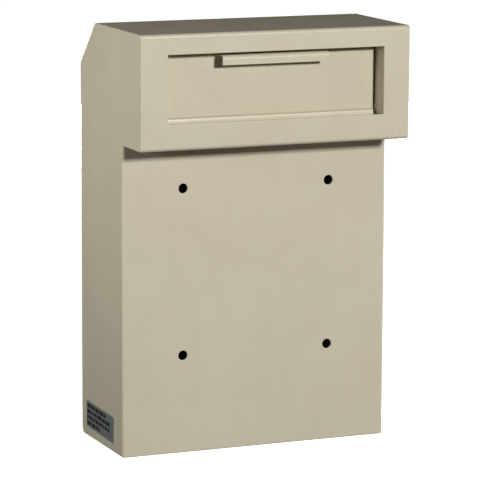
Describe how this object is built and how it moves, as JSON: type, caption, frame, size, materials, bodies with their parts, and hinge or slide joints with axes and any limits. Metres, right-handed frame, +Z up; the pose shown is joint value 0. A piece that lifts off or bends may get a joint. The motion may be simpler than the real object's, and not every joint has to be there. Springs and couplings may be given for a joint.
{
  "type": "parcel drop box",
  "caption": "Through-the-door drop box in folded sheet steel, with a hooded self-closing hopper in front and a hinged, cam-locked door at the back.",
  "frame": {"origin": "middle of the four-hole bolt pattern, on the front face that bolts to a door's inner side", "axes": "-Y out through the door towards the street side, +Z up, +X to the right as seen from the street side"},
  "size_m": [0.2544, 0.1593, 0.38],
  "materials": {
    "powder_coated_steel": "satin beige powder coat with a fine orange-peel texture",
    "label": "matt grey film with dark printed bars",
    "bright_steel": "bright drawn steel",
    "spring_steel": "blackened spring steel",
    "zinc_plate": "zinc plated, satin",
    "aluminium_rivet": "plain aluminium",
    "lock_chrome": "polished chrome plate",
    "bumper_rubber": "matt black rubber",
    "nylon": "natural nylon"
  },
  "bodies": {
    "box": {"front_side_wrap": "powder_coated_steel", "hood_wrap": "powder_coated_steel", "rear_wrap": "powder_coated_steel", "chute_frame": "powder_coated_steel", "upper_baffle": "powder_coated_steel", "label_plate": "label", "hopper_rod": "bright_steel", "rod_clips": "spring_steel", "rod_bushes": "nylon", "flap_bumpers": "bumper_rubber", "door_stop_frame": "powder_coated_steel", "door_bumpers": "bumper_rubber", "frame_hinge_leaf": "zinc_plate", "hinge_pin": "bright_steel", "frame_rivets": "aluminium_rivet", "lock_strike": "zinc_plate"},
    "hopper": {"hopper_flap": "powder_coated_steel", "hopper_tray": "powder_coated_steel", "hopper_cheek_left": "powder_coated_steel", "hopper_cheek_right": "powder_coated_steel"},
    "door": {"rear_door": "powder_coated_steel", "door_stiffener": "powder_coated_steel", "door_hinge_leaf": "zinc_plate", "door_rivets": "aluminium_rivet", "lock_body": "lock_chrome", "lock_washer": "zinc_plate", "lock_nut": "zinc_plate"},
    "lock_core": {"lock_plug": "lock_chrome", "lock_cam": "zinc_plate", "cam_washer": "zinc_plate", "cam_screw": "bright_steel"}
  },
  "joints": [
    {"name": "hopper_hinge", "type": "hinge", "parent": "box", "child": "hopper", "pos_m": [0, -0.02445, 0.1425], "axis": [1, 0, 0], "range_deg": [0, 55]},
    {"name": "door_hinge", "type": "hinge", "parent": "box", "child": "door", "pos_m": [-0.105, 0.1103, 0.005], "axis": [0, 0, 1], "range_deg": [0, 175]},
    {"name": "lock_turn", "type": "hinge", "parent": "door", "child": "lock_core", "pos_m": [0.08, 0.1095, 0.005], "axis": [0, 1, 0], "range_deg": [0, 90]}
  ]
}
